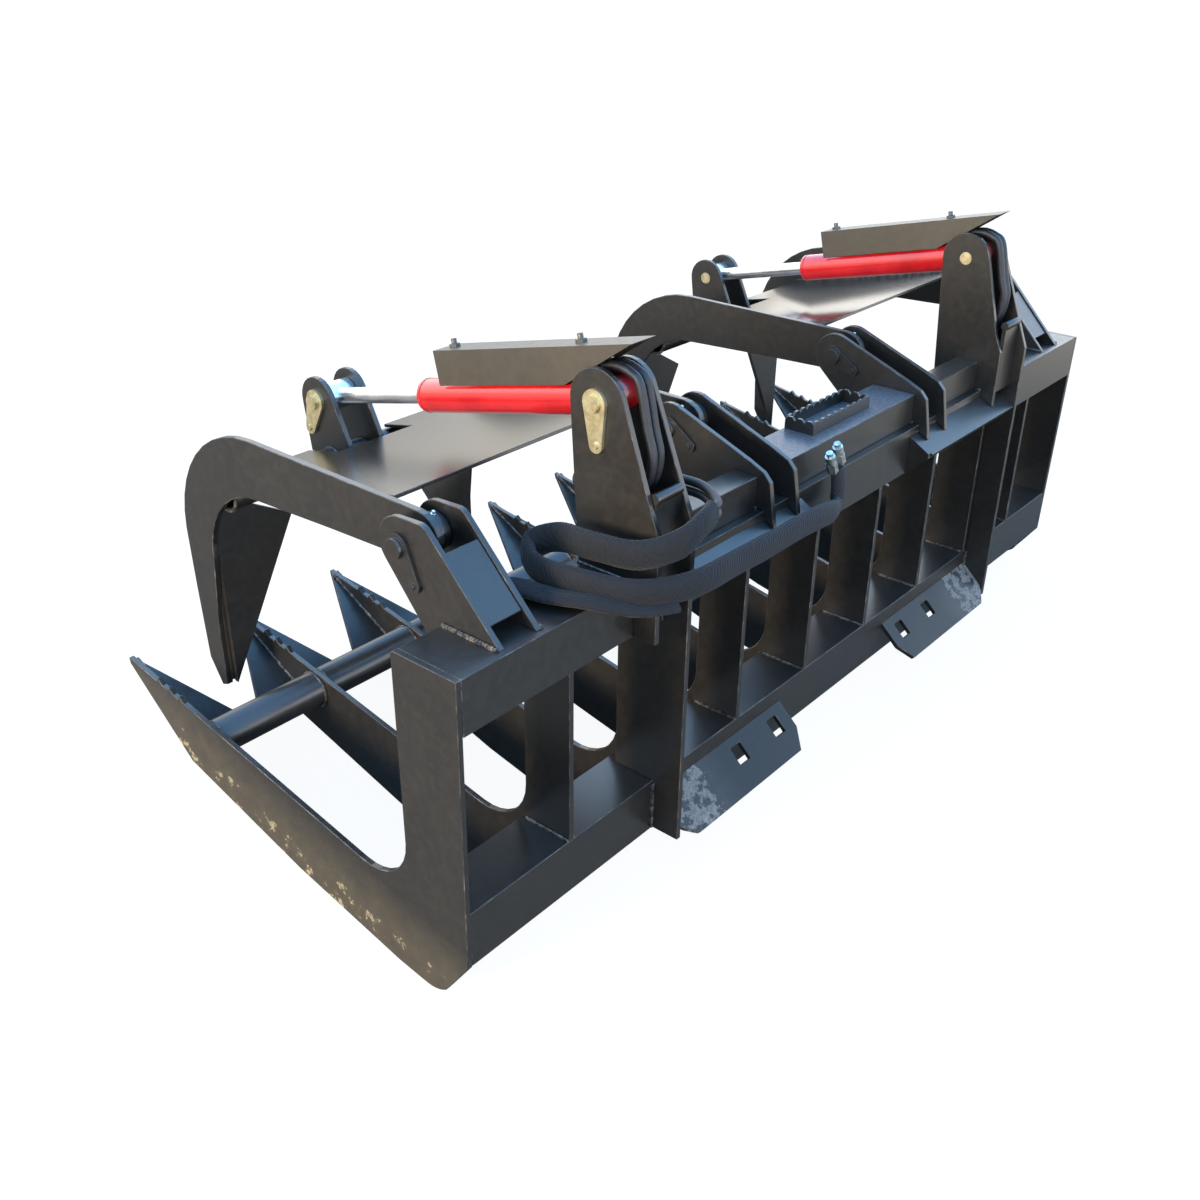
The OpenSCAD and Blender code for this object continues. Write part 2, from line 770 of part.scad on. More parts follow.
// Cord routes: round numbers, as [X, Y, Z], or [across, u, v] on a barrel.
hose_apart = 8;
barrel_route = [[0, -0.5, 46], [0, -24, 44], [0, -45, 34], [0, -58, 16], [0, -62, -6]];
left_tower_route = [[612, -8, 226], [612, 2, 190], [612, -6, 150], [612, -40, 112], [612, -90, 100],
    [610, -142, 98], [578, -168, 100], [536, -142, 104], [522, -80, 108], [518, -20, 111], [520, 24, 111],
    [545, 66, 107], [565, 72, 106]];
right_tower_route = [[0, -8, 226], [0, 2, 190], [0, -6, 140], [0, -28, 80], [0, -40, 2]];
sleeve_route = [[568, 72, 106], [604, 80, 102], [650, 74, 86], [690, 34, 72], [702, -36, 68],
    [700, -104, 60], [728, -138, 46], [756, -100, 34], [748, -30, 30], [704, 50, 22], [620, 84, 16],
    [500, 82, 8], [400, 79, 2]];
strap_route = [[420, 79, 2], [330, 77, 0], [260, 74, -6], [200, 64, -20], [150, 42, -40], [118, 28, -38],
    [114, 26, -10], [123, 28, 12], [131, 28, 29.5]];
lead_route = [[816, -140, -34], [814, -140, -4], [804, -116, 18], [780, -50, 14], [752, 10, 14],
    [706, 54, 2], [654, 76, -4]];
lead_w = 40;
lead_h = 18;

module barrel_hose(side) {
    color("black") along_cylinder(side) for (dir = [-1, 1])
        translate([dir * hose_apart, 0, 0]) hose(barrel_route, hose_d, hose_d, [1, 0, 0], 1);
}

// The left pair turns from side by side to one above the other on its way round the inner plate.
pair_turn = [0, 0, 0, 15, 40, 65, 90, 90, 90, 90, 90, 90, 90];
function paired(p, dir) =
    [for (i = [0:len(p) - 1]) p[i] + dir * hose_apart * [cos(pair_turn[i]), 0, sin(pair_turn[i])]];

module tower_hoses() {
    color("black") for (dir = [-1, 1]) {
        hose(paired(left_tower_route, dir), hose_d, hose_d, [1, 1, 1], 2);
        translate([right_tower_x + dir * hose_apart, 0, 0])
            hose(right_tower_route, hose_d, hose_d, [1, 0, 0], 1);
    }
}

module hose_sleeve() {
    color("gray") {
        hose(sleeve_route, sleeve_h, sleeve_w, [0, 0, 1], 2, 10);
        hose(strap_route, sleeve_w, sleeve_h, [0, 1, 0], 2, 10);
        hose(lead_route, lead_w, lead_h, [0, -1, 1], 1);
    }
}

stand() end_plate(1);  // left_end_plate
stand() end_plate(-1);  // right_end_plate
stand() tine(1);  // tine_1
stand() tine(2);  // tine_2
stand() tine(3);  // tine_3
stand() tine(4);  // tine_4
stand() tine(5);  // tine_5
stand() tine(6);  // tine_6
stand() tine(7);  // tine_7
stand() tine(8);  // tine_8
stand() spade_wings();
stand() front_tube();
stand() top_beam();
stand() lower_beam();
stand() step_rails();
stand() step_box();
stand() step_tread();
stand() top_lips();
stand() side_plate(coupler_w / 2);  // left_side_plate
stand() side_plate(-coupler_w / 2 - tower_t);  // right_side_plate
stand() tower_plates();
stand() tower_webs();
stand() bottom_lips();
stand() hinge_ears(1);  // left_hinge_ears
stand() hinge_ears(-1);  // right_hinge_ears
stand() ear_webs();
stand() hinge_pins();
stand() tower_pins();
stand() hose_couplers();
stand() arm(outer_arm_x);  // left_outer_arm
stand() arm(arm_inner_x);  // left_inner_arm
stand() arm_wings(1);  // left_arm_wings
stand() pivot_bosses(1);  // left_pivot_bosses
stand() grapple_sheet(1);  // left_grapple_sheet
stand() cross_tube(1);  // left_cross_tube
stand() lug_ears(1);  // left_lug_ears
stand() lug_pin(1);  // left_lug_pin
stand() barrel(1);  // left_barrel
stand() gland(1);  // left_gland
stand() guard(1);  // left_guard
stand() port_fittings(1);  // left_port_fittings
stand() rod(1);  // left_rod
stand() arm(-outer_arm_x);  // right_outer_arm
stand() arm(-arm_inner_x);  // right_inner_arm
stand() arm_wings(-1);  // right_arm_wings
stand() pivot_bosses(-1);  // right_pivot_bosses
stand() grapple_sheet(-1);  // right_grapple_sheet
stand() cross_tube(-1);  // right_cross_tube
stand() lug_ears(-1);  // right_lug_ears
stand() lug_pin(-1);  // right_lug_pin
stand() barrel(-1);  // right_barrel
stand() gland(-1);  // right_gland
stand() guard(-1);  // right_guard
stand() port_fittings(-1);  // right_port_fittings
stand() rod(-1);  // right_rod
stand() barrel_hose(1);  // left_barrel_hose
stand() barrel_hose(-1);  // right_barrel_hose
stand() tower_hoses();
stand() hose_sleeve();
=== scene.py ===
# %% [markdown]
# # A root grapple bucket
# The steel parts are already there at their real size: the frame below loads them, each in its own node.
# This notebook adds what makes them look real: paint, pale plate edges of worn paint with a painted highlight, weld
# beads, hoses and a woven sleeve.

# %% Load the steel parts
import json
import math

import bmesh
import bpy
from mathutils import Matrix, Vector, noise


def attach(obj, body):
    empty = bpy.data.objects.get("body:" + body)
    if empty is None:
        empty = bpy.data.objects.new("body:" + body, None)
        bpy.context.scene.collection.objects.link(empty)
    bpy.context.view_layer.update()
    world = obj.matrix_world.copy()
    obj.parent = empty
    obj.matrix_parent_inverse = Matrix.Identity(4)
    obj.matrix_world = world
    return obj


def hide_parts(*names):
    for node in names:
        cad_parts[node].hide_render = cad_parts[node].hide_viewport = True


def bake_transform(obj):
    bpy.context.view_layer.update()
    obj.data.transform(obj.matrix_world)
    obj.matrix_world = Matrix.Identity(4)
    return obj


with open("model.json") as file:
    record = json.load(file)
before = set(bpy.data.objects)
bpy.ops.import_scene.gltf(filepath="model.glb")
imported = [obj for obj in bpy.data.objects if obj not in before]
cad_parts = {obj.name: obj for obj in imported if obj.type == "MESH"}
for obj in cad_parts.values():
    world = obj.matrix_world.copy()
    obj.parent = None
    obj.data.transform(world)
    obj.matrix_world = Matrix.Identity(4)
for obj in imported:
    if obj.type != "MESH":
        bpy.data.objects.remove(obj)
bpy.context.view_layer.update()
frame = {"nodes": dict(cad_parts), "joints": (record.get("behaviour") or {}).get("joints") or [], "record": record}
MM = 0.001

# %% [markdown]
# ## The leaning frame
# The bucket was drawn upright, with its top beam level, and then leant onto the flat soles of its tines.
# Places on it are easier to read in the upright drawing, so one matrix takes them to where the part stands.
# The lean comes from the rise of the tines' soles, and the hinge pin, known in both, gives the shift.

# %% The matrix from the drawing to the floor
SOLE_LENGTH = 247 * MM
SOLE_RISE = 50 * MM
LEAN = math.asin(SOLE_RISE / SOLE_LENGTH)
HINGE_DRAWN = Vector((0, -200, 96)) * MM


def joint_place(name):
    """Where a joint's axis passes, in the standing part."""
    return next(Vector(j["pos_m"]) for j in frame["joints"] if j["name"] == name)


turn = Matrix.Rotation(LEAN, 4, "X")
hinge = joint_place("grapple_left_hinge")
lift = Vector((0, hinge.y, hinge.z)) - turn @ HINGE_DRAWN
STAND = Matrix.Translation(lift) @ turn


def at(x, y, z):
    """A point of the upright drawing in millimetres, as it stands."""
    return STAND @ (Vector((x, y, z)) * MM)


print("lean", round(math.degrees(LEAN), 2), "shift", [round(v, 4) for v in lift])

# %% [markdown]
# ## The camera
# The photograph was taken by someone standing behind the bucket on its left. The lens and the place come from
# the straight edges of the beams and the even spacing of the tines. The camera is turned with the same matrix
# as the part, so it keeps looking at the beams as the photograph does.

# %% The camera
CAMERA_PLACE = (1937.8, 1011.3, 862.8)
CAMERA_FORWARD = Vector((-0.67318, -0.56376, -0.47854))
CAMERA_RIGHT = Vector((-0.64651, 0.76283, 0.01078))
FOCAL_SHARE = 1255.9 / 1200

camera_data = bpy.data.cameras.new("camera")
camera = bpy.data.objects.new("camera", camera_data)
bpy.context.scene.collection.objects.link(camera)
bpy.context.scene.camera = camera
camera_data.sensor_width = 36
camera_data.lens = FOCAL_SHARE * camera_data.sensor_width
forward = (turn.to_3x3() @ CAMERA_FORWARD).normalized()
right = (turn.to_3x3() @ CAMERA_RIGHT).normalized()
up = right.cross(forward).normalized()
right = forward.cross(up)
axes = Matrix((right, up, -forward)).transposed()
camera.matrix_world = Matrix.Translation(at(*CAMERA_PLACE)) @ axes.to_4x4()
print("camera at", [round(v, 3) for v in camera.location])

# %% [markdown]
# ## Material helpers
# Colours are written as on a paint card, in sRGB hex, and one function turns them to the linear values that
# the shader works in. Another adds one node with its settings and its links.


# %% Colour and node helpers
def hex_colour(text):
    """An sRGB hex colour as linear RGBA."""
    channels = [int(text[i:i + 2], 16) / 255 for i in (1, 3, 5)]
    linear = [c / 12.92 if c <= 0.04045 else ((c + 0.055) / 1.055) ** 2.4 for c in channels]
    return (*linear, 1.0)


def add_node(material, kind, inputs=None, **settings):
    """One node of a material. inputs are values, colours or another node's output socket."""
    node = material.node_tree.nodes.new(kind)
    for name, value in settings.items():
        setattr(node, name, value)
    for name, value in (inputs or {}).items():
        socket = node.inputs[name]
        if isinstance(value, bpy.types.NodeSocket):
            material.node_tree.links.new(value, socket)
        else:
            socket.default_value = value
    return node


def new_material(name):
    """An empty material with its output and shader, and the Object coordinates."""
    material = bpy.data.materials.new(name)
    material.use_nodes = True
    material.node_tree.nodes.clear()
    shader = add_node(material, "ShaderNodeBsdfPrincipled")
    output = add_node(material, "ShaderNodeOutputMaterial", {"Surface": shader.outputs["BSDF"]})
    coords = add_node(material, "ShaderNodeTexCoord")
    return material, shader, coords.outputs["Object"]


def speckle(material, place, size, detail=4.0, rough=0.6):
    """A noise pattern whose blobs are about size millimetres across, as a factor."""
    grain = add_node(material, "ShaderNodeTexNoise",
                     {"Vector": place, "Scale": 1 / (size * MM), "Detail": detail, "Roughness": rough})
    return grain.outputs["Fac"]


def ramp(material, factor, stops):
    """A colour ramp through (position, hex colour) stops."""
    node = add_node(material, "ShaderNodeValToRGB", {"Fac": factor})
    elements = node.color_ramp.elements
    while len(elements) < len(stops):
        elements.new(0.5)
    for element, (position, colour) in zip(elements, stops):
        element.position = position
        element.color = hex_colour(colour)
    return node.outputs["Color"]


def blend_colour(material, factor, first, second):
    """second over first by factor."""
    node = add_node(material, "ShaderNodeMix", data_type="RGBA")
    for socket, value in ((node.inputs[0], factor), (node.inputs[6], first), (node.inputs[7], second)):
        if isinstance(value, bpy.types.NodeSocket):
            material.node_tree.links.new(value, socket)
        else:
            socket.default_value = value if isinstance(value, (float, int, tuple)) else hex_colour(value)
    return node.outputs[2]


def bump(material, height, distance, strength=1.0):
    """A bump from a height, distance in millimetres."""
    node = add_node(material, "ShaderNodeBump",
                    {"Height": height, "Distance": distance * MM, "Strength": strength})
    return node.outputs["Normal"]


def link(material, output, socket):
    material.node_tree.links.new(output, socket)


# %% [markdown]
# ## Black paint on steel plate
# The bucket is sprayed with a semi-gloss black enamel over hot-rolled plate. The paint itself is nearly black.
# Most of what the eye sees on it is the sky: blue on faces that look up, warm grey on faces that look to the
# side. Dust gives it a faint brown bloom, and the plate's mill scale shows through as a slow waviness.

# %% Black enamel
def black_enamel(name, light="#34302b", dark="#1b1a1a", gloss=0.3, spread=0.2):
    """The paint. Returns the material, its shader, its coordinates and the colour so far."""
    material, shader, place = new_material(name)
    cloud = speckle(material, place, 180)
    fine = speckle(material, place, 14, detail=8)
    base = blend_colour(material, cloud, dark, light)
    dust = ramp(material, fine, [(0.45, "#000000"), (0.8, "#3a342c")])
    dusty = add_node(material, "ShaderNodeMix", {0: 0.25}, data_type="RGBA", blend_type="ADD")
    link(material, base, dusty.inputs[6])
    link(material, dust, dusty.inputs[7])
    link(material, dusty.outputs[2], shader.inputs["Base Color"])
    rough = add_node(material, "ShaderNodeMapRange", {"Value": fine, "To Min": gloss - 0.05, "To Max": gloss + spread})
    link(material, rough.outputs["Result"], shader.inputs["Roughness"])
    shader.inputs["Coat Weight"].default_value = 0.3
    shader.inputs["Coat Roughness"].default_value = 0.2
    link(material, bump(material, cloud, 1.2, 0.35), shader.inputs["Normal"])
    return material, shader, place, dusty.outputs[2]


DUST_AND_SHEEN_SHARE = 0.5
CLEAN_COAT = (0.3, 0.3, 0.3, 1)
BARE_COAT = (0.0, 0.0, 0.0, 1)


def rubbed_and_sheen_enamel(name, mask_of, chip_and_sheen_colour, chip_size, cover, gloss=0.3, shine=0.5):
    """Black enamel with patches where mask_of, made from the coordinates, is high: chips and dried dirt, and on the
    step's box a painted sky sheen.
    """
    material, shader, place, colour = black_enamel(name, gloss=gloss)
    mask = mask_of(material, place)
    chips = speckle(material, place, chip_size, detail=10, rough=0.68)
    level = add_node(material, "ShaderNodeMath", {0: chips, 1: mask}, operation="MULTIPLY")
    edge = add_node(material, "ShaderNodeMapRange",
                    {"Value": level.outputs[0], "From Min": 1 - cover, "From Max": 1.03 - cover})
    tint = ramp(material, speckle(material, place, 6), [(0.35, chip_and_sheen_colour[0]), (0.65, chip_and_sheen_colour[1])])
    # The haze is dust on the end plates and lips, and a painted sky sheen on the step's box.
    haze = add_node(material, "ShaderNodeMath", {0: level.outputs[0], 1: DUST_AND_SHEEN_SHARE}, operation="MULTIPLY")
    dust_and_sheen_hazed = blend_colour(material, haze.outputs[0], colour, chip_and_sheen_colour[0])
    mixed = blend_colour(material, edge.outputs["Result"], dust_and_sheen_hazed, tint)
    link(material, mixed, shader.inputs["Base Color"])
    coat = blend_colour(material, edge.outputs["Result"], CLEAN_COAT, BARE_COAT)
    link(material, coat, shader.inputs["Coat Weight"])
    shader.inputs["Specular IOR Level"].default_value = shine
    return material


def ramp_between(material, value, low, high):
    """0 at low and 1 at high, clamped. low may be the larger."""
    node = add_node(material, "ShaderNodeMapRange", {"Value": value, "From Min": low, "From Max": high})
    return node.outputs["Result"]


def scraped_foot(material, place):
    """High near the bottom edge of an end plate, where it drags on the ground."""
    axes_of = add_node(material, "ShaderNodeSeparateXYZ", {"Vector": place})
    front = at(0, -690, -450)
    knee = at(0, -403, -531)
    rise = (front.z - knee.z) / (front.y - knee.y)
    line = add_node(material, "ShaderNodeMath", {0: axes_of.outputs["Y"], 1: rise, 2: knee.z - rise * knee.y},
                    operation="MULTIPLY_ADD")
    edge = add_node(material, "ShaderNodeMath", {0: line.outputs[0], 1: 0.0}, operation="MAXIMUM")
    above = add_node(material, "ShaderNodeMath", {0: axes_of.outputs["Z"], 1: edge.outputs[0]}, operation="SUBTRACT")
    return ramp_between(material, above.outputs[0], SCRAPE_REACH, SCRAPE_FULL)


def worn_lip(material, place):
    """High at the outer end of each bottom lip, where the loader's wedge and the ground rub it bare."""
    axes_of = add_node(material, "ShaderNodeSeparateXYZ", {"Vector": place})
    across = add_node(material, "ShaderNodeMath", {0: axes_of.outputs["X"]}, operation="ABSOLUTE")
    return ramp_between(material, across.outputs[0], 0.4, 0.47)


def painted_sheen_top(material, place):
    """High on the faces that look up, where the step's box gets lighter grey patches: a painted sky sheen."""
    facing = add_node(material, "ShaderNodeNewGeometry").outputs["Normal"]
    upward = add_node(material, "ShaderNodeSeparateXYZ", {"Vector": facing}).outputs["Z"]
    return ramp_between(material, upward, 0.8, 0.95)


SCRAPE_REACH = 0.14
SCRAPE_FULL = 0.05
paint = black_enamel("black_enamel")[0]
scraped_paint = rubbed_and_sheen_enamel("scraped_black_enamel", scraped_foot, ("#8d8169", "#c3b795"), 36, 0.43)
lip_paint = rubbed_and_sheen_enamel("worn_black_enamel", worn_lip, ("#807c76", "#b3afa8"), 22, 0.54, gloss=0.5,
                          shine=0.15)
sheet_paint, sheet_shader = black_enamel("smooth_black_enamel", gloss=0.26, spread=0.02)[:2]
sheet_shader.inputs["Coat Weight"].default_value = 0.4
sheet_shader.inputs["Coat Roughness"].default_value = 0.2
# On the step's box the grey patches on faces that look up are a painted sky sheen.
step_paint = rubbed_and_sheen_enamel("sky_sheen_black_enamel", painted_sheen_top, ("#55555a", "#7b7b80"), 18, 0.66)
# The guards get a lighter, warmer copy of the enamel: a painted highlight for the bright light on their sides.
highlight_guard_paint = black_enamel("highlight_black_enamel", light="#5f584b", dark="#45413a", gloss=0.35)[0]
print("made", paint.name, scraped_paint.name, lip_paint.name)

# %% [markdown]
# ## Bright plate edges
# Every plate was cut by plasma and then rubbed on the ground, on pallets and by chains. Its edges show as thin
# pale lines. A bevel gives each edge a real face of about a millimetre, and that face takes its own paler finish:
# a painted highlight along the edge, with worn paint and bare steel showing here and there.

# %% Worn edges with a painted highlight
def worn_and_highlight_edge(name):
    material, shader, place = new_material(name)
    patch = speckle(material, place, 30, detail=6)
    # The paler tones on the edge face are a painted highlight along every edge, mixed with worn paint.
    colour = ramp(material, patch, [(0.36, "#252322"), (0.54, "#4f4a44"), (0.72, "#8f887d")])
    link(material, colour, shader.inputs["Base Color"])
    shader.inputs["Metallic"].default_value = 0.1
    shader.inputs["Roughness"].default_value = 0.6
    return material


edge_highlight_finish = worn_and_highlight_edge("worn_and_highlight_plate_edge")
EDGE_WIDTH = 1.1 * MM


def bevel_worn_and_highlight_edges(part, width=EDGE_WIDTH, angle=35):
    """Welds a node's loose triangles into whole flat faces and gives its sharp edges a narrow bevel face, which takes
    the pale edge finish: worn paint and a painted highlight.
    """
    weld = part.modifiers.new("weld", "WELD")
    weld.merge_threshold = 0.00001
    flat = part.modifiers.new("flat faces", "DECIMATE")
    flat.decimate_type = "DISSOLVE"
    flat.angle_limit = math.radians(0.3)
    bevel = part.modifiers.new("edges", "BEVEL")
    bevel.width = width
    bevel.segments = 1
    bevel.limit_method = "ANGLE"
    bevel.angle_limit = math.radians(angle)
    bevel.material = 1
    bevel.harden_normals = False


# %% [markdown]
# ## The other finishes
# The cylinders are sprayed in a bright gloss red, the rods are hard chrome, ground and polished. The pins are
# plated in yellow zinc, the port fittings and couplers in bright zinc.

# %% Red enamel, chrome and zinc
def plain_metal(name, low, high, size, metallic, roughness, coat=0.0):
    """A finish whose colour wanders between two close tones."""
    material, shader, place = new_material(name)
    colour = ramp(material, speckle(material, place, size), [(0.35, low), (0.65, high)])
    link(material, colour, shader.inputs["Base Color"])
    rough = add_node(material, "ShaderNodeMapRange", {
        "Value": speckle(material, place, size / 4), "To Min": roughness * 0.8, "To Max": roughness * 1.3})
    link(material, rough.outputs["Result"], shader.inputs["Roughness"])
    shader.inputs["Metallic"].default_value = metallic
    shader.inputs["Coat Weight"].default_value = coat
    return material


red = plain_metal("red_gloss_enamel", "#cf1a20", "#ea262b", 60, 0.0, 0.3, 0.7)
chrome = plain_metal("hard_chrome", "#d8d9dc", "#eeeff0", 40, 0.9, 0.24)
yellow_zinc = plain_metal("yellow_zinc_plate", "#bfae80", "#ded2ad", 12, 0.7, 0.36)
zinc = plain_metal("bright_zinc_plate", "#8f9390", "#c9cdc9", 8, 0.9, 0.3)
rubber = plain_metal("hose_rubber", "#15161a", "#26282d", 10, 0.0, 0.5)

# %% [markdown]
# ## Which piece gets which finish
# The record gives every node a material slot. Each slot has one finish here, and every painted plate also gets
# the pale edges: worn paint with a painted highlight.

# %% Assign the finishes
FINISHES = {"black_paint": paint, "red_paint": red, "chrome": chrome, "yellow_zinc": yellow_zinc,
            "zinc": zinc, "hose_rubber": rubber, "woven_sleeve": rubber}
slot_of = {s["node"]: s["material_slot"] for s in frame["record"]["subparts"]}
SPECIAL = {"left_end_plate": scraped_paint, "right_end_plate": scraped_paint, "bottom_lips": lip_paint,
           "left_grapple_sheet": sheet_paint, "right_grapple_sheet": sheet_paint,
           "step_box": step_paint, "left_guard": highlight_guard_paint, "right_guard": highlight_guard_paint}
for name, part in frame["nodes"].items():
    finish = SPECIAL.get(name, FINISHES[slot_of[name]])
    part.data.materials.clear()
    part.data.materials.append(finish)
    if slot_of[name] == "black_paint":
        # Slot 1 is the pale edge face: worn paint and a painted highlight.
        part.data.materials.append(edge_highlight_finish)
        bevel_worn_and_highlight_edges(part)
print("finished", len(frame["nodes"]), "nodes")

# %% [markdown]
# ## Hoses
# Two hydraulic hoses leave the ports of each cylinder, bend back over the tower pin and run down between the
# tower's plates. A hose is one smooth curve through a few listed points, the same ones as in the drawing.
# The stretch near the port follows points on the cylinder as it stands and the rest follows the frame, all in
# one fixed mesh.

# %% A smooth line and a swept tube
TOWER_PIN = (-77, 261)
LUG_PIN = (-718, 111)
TOWER_X = {"left": 612, "right": -542}
HOSE_WIDTH = 14
HOSE_APART = 8


def smooth_line(points, steps):
    """A curve through the points, with steps pieces between each two, evened out for a sweep."""
    ends = [points[0], *points, points[-1]]
    line = []
    for a, b, c, d in zip(ends, ends[1:], ends[2:], ends[3:]):
        for i in range(steps):
            s = i / steps
            line.append(0.5 * (2 * b + (c - a) * s + (2 * a - 5 * b + 4 * c - d) * s * s
                               + (3 * b - a - 3 * c + d) * s * s * s))
    return [*line, points[-1]]


def line_length(line):
    return sum((b - a).length for a, b in zip(line, line[1:]))


def swept_tube(name, line, width, height, sides, thin_side=None, swell=None):
    """A closed tube along the line. thin_side(share, along) says which way its width lies.

    Without thin_side the ring is carried along with the least twist, which suits a round hose."""
    mesh = bmesh.new()
    ring = bmesh.ops.create_circle(mesh, segments=sides, radius=0.5, cap_ends=True)
    edges = list({edge for vert in ring["verts"] for edge in vert.link_edges})
    spokes = [vert.co.copy() for vert in ring["verts"]]
    verts = ring["verts"]
    across = Vector((1, 0, 0))
    for step, place in enumerate(line):
        share = step / (len(line) - 1)
        before, after = line[max(step - 1, 0)], line[min(step + 1, len(line) - 1)]
        along = (after - before).normalized()
        if thin_side:
            across = thin_side(share, along)
        across = (across - along * across.dot(along)).normalized()
        rise = across.cross(along)
        wide, tall = swell(share) if swell else (1.0, 1.0)
        if step:
            made = bmesh.ops.extrude_edge_only(mesh, edges=edges)["geom"]
            verts = [g for g in made if isinstance(g, bmesh.types.BMVert)]
            edges = [g for g in made if isinstance(g, bmesh.types.BMEdge)]
        for vert, spoke in zip(verts, spokes):
            vert.co = place + across * spoke.x * width * wide + rise * spoke.y * height * tall
    bmesh.ops.edgeloop_fill(mesh, edges=edges)
    bmesh.ops.recalc_face_normals(mesh, faces=mesh.faces)
    return finished_piece(name, mesh)


def finished_piece(name, mesh, smooth=True):
    """Turns a bmesh into an object in the scene."""
    data = bpy.data.meshes.new(name)
    mesh.to_mesh(data)
    mesh.free()
    for face in data.polygons:
        face.use_smooth = smooth
    piece = bpy.data.objects.new(name, data)
    bpy.context.scene.collection.objects.link(piece)
    return piece


CYLINDER_AXIS = (Vector(LUG_PIN) - Vector(TOWER_PIN)).normalized()


def on_cylinder(side, across, u, v):
    """A point in a cylinder's own frame, u along the rod and v up, all in millimetres."""
    y = TOWER_PIN[0] + CYLINDER_AXIS.x * u + CYLINDER_AXIS.y * v
    z = TOWER_PIN[1] + CYLINDER_AXIS.y * u - CYLINDER_AXIS.x * v
    return at(TOWER_X[side] + across, y, z)


BARREL_ROUTE = [(0, -0.5, 46), (0, -24, 44), (0, -45, 34), (0, -58, 16)]
LEFT_TOWER_ROUTE = [
    (612, -8, 226), (612, 2, 190), (612, -6, 150), (612, -40, 112), (612, -90, 100), (610, -142, 98),
    (578, -168, 100), (536, -142, 104), (522, -80, 108), (518, -20, 111), (520, 24, 111), (545, 66, 107),
    (565, 72, 106)]
LEFT_PAIR_TURN = [0, 0, 0, 15, 40, 65, 90, 90, 90, 90, 90, 90, 90]
RIGHT_TOWER_ROUTE = [(-542, -8, 226), (-542, 2, 190), (-542, -6, 140), (-542, -28, 80), (-542, -40, 2)]
SLEEVE_ROUTE = [
    (568, 72, 106), (604, 80, 102), (650, 74, 86), (690, 34, 72), (702, -36, 68), (700, -104, 60),
    (728, -138, 46), (756, -100, 34), (748, -30, 30), (704, 50, 22), (620, 84, 16), (500, 82, 8),
    (400, 79, 2), (330, 77, 0), (260, 74, -6), (200, 64, -20), (150, 42, -40), (118, 28, -38),
    (114, 26, -10), (123, 28, 12), (131, 28, 29.5)]
LEAD_ROUTE = [
    (816, -140, -34), (814, -140, -4), (804, -116, 18), (780, -50, 14), (752, 10, 14), (706, 54, 2),
    (654, 76, -4)]

# %% The hoses over the towers
TOWER_ROUTES = {"left": (LEFT_TOWER_ROUTE, LEFT_PAIR_TURN),
                "right": (RIGHT_TOWER_ROUTE, [0] * len(RIGHT_TOWER_ROUTE))}
for side, (tower_route, pair_turn) in TOWER_ROUTES.items():
    for number, apart in enumerate((-HOSE_APART, HOSE_APART), 1):
        on_barrel = [on_cylinder(side, apart, u, v) for _, u, v in BARREL_ROUTE]
        on_frame = [at(x + apart * math.cos(math.radians(turned)), y, z + apart * math.sin(math.radians(turned)))
                    for (x, y, z), turned in zip(tower_route, pair_turn)]
        line = smooth_line([*on_barrel, *on_frame], 6)
        hose = swept_tube(f"{side}_hose_{number}", line, HOSE_WIDTH * MM, HOSE_WIDTH * MM, 16)
        hose.data.materials.append(rubber)
        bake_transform(hose)
        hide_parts(f"{side}_barrel_hose", "tower_hoses")
        print(hose.name, round(line_length(line), 3), "m")

# %% [markdown]
# ## Gland nuts, rod wipers and grease nipples
# The barrel ends in a gland nut of its own width with a rounded face, and a rubber wiper hugs the rod. Each
# grapple hinge is greased through a nipple on its boss. All are turned parts, so one function spins a profile
# of (distance along, radius) points about an axis.

# %% Turned parts
def turned(name, origin, axis, profile, sides, closed=False):
    """Spins the profile, in millimetres, about the axis from the origin."""
    mesh = bmesh.new()
    turn_to = axis.to_track_quat("Z", "Y").to_matrix()
    rings = []
    for along, radius in profile:
        spin = [2 * math.pi * i / sides for i in range(sides)]
        circle = [Vector((radius * math.cos(a), radius * math.sin(a), along)) * MM for a in spin]
        rings.append([mesh.verts.new(origin + turn_to @ place) for place in circle])
    pairs = list(zip(rings, rings[1:])) + ([(rings[-1], rings[0])] if closed else [])
    for low, high in pairs:
        for i in range(sides):
            mesh.faces.new((low[i - 1], low[i], high[i], high[i - 1]))
    if not closed:
        mesh.faces.new(rings[0])
        mesh.faces.new(rings[-1])
    bmesh.ops.recalc_face_normals(mesh, faces=mesh.faces)
    piece = finished_piece(name, mesh)
    soften = piece.modifiers.new("crisp", "EDGE_SPLIT")
    soften.split_angle = math.radians(40)
    return piece


BARREL_LENGTH = 405
COLLAR = 12
GLAND_PROFILE = [(-COLLAR, 28), (1.5 - COLLAR, 28), (2 - COLLAR, 27), (3 - COLLAR, 27), (3.5 - COLLAR, 28.4),
                 (-4, 28.4), (-1.8, 27.4), (-0.5, 25.4), (0, 22.5), (0, 17), (-3, 15.4), (-COLLAR, 15.4)]
WIPER_PROFILE = [(-3, 17.2), (1.6, 17.2), (2.4, 16.4), (2.8, 14.6), (-3, 14.6)]
for side in ("left", "right"):
    face = on_cylinder(side, 0, BARREL_LENGTH, 0)
    axis = face - on_cylinder(side, 0, 0, 0)
    nut = turned(f"{side}_gland_nut", face, axis, GLAND_PROFILE, 64, closed=True)
    nut.data.materials.append(red)
    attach(nut, f"barrel_{side}")
    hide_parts(f"{side}_gland")
    wiper = turned(f"{side}_rod_wiper", face, axis, WIPER_PROFILE, 48, closed=True)
    wiper.data.materials.append(rubber)
    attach(wiper, f"barrel_{side}")

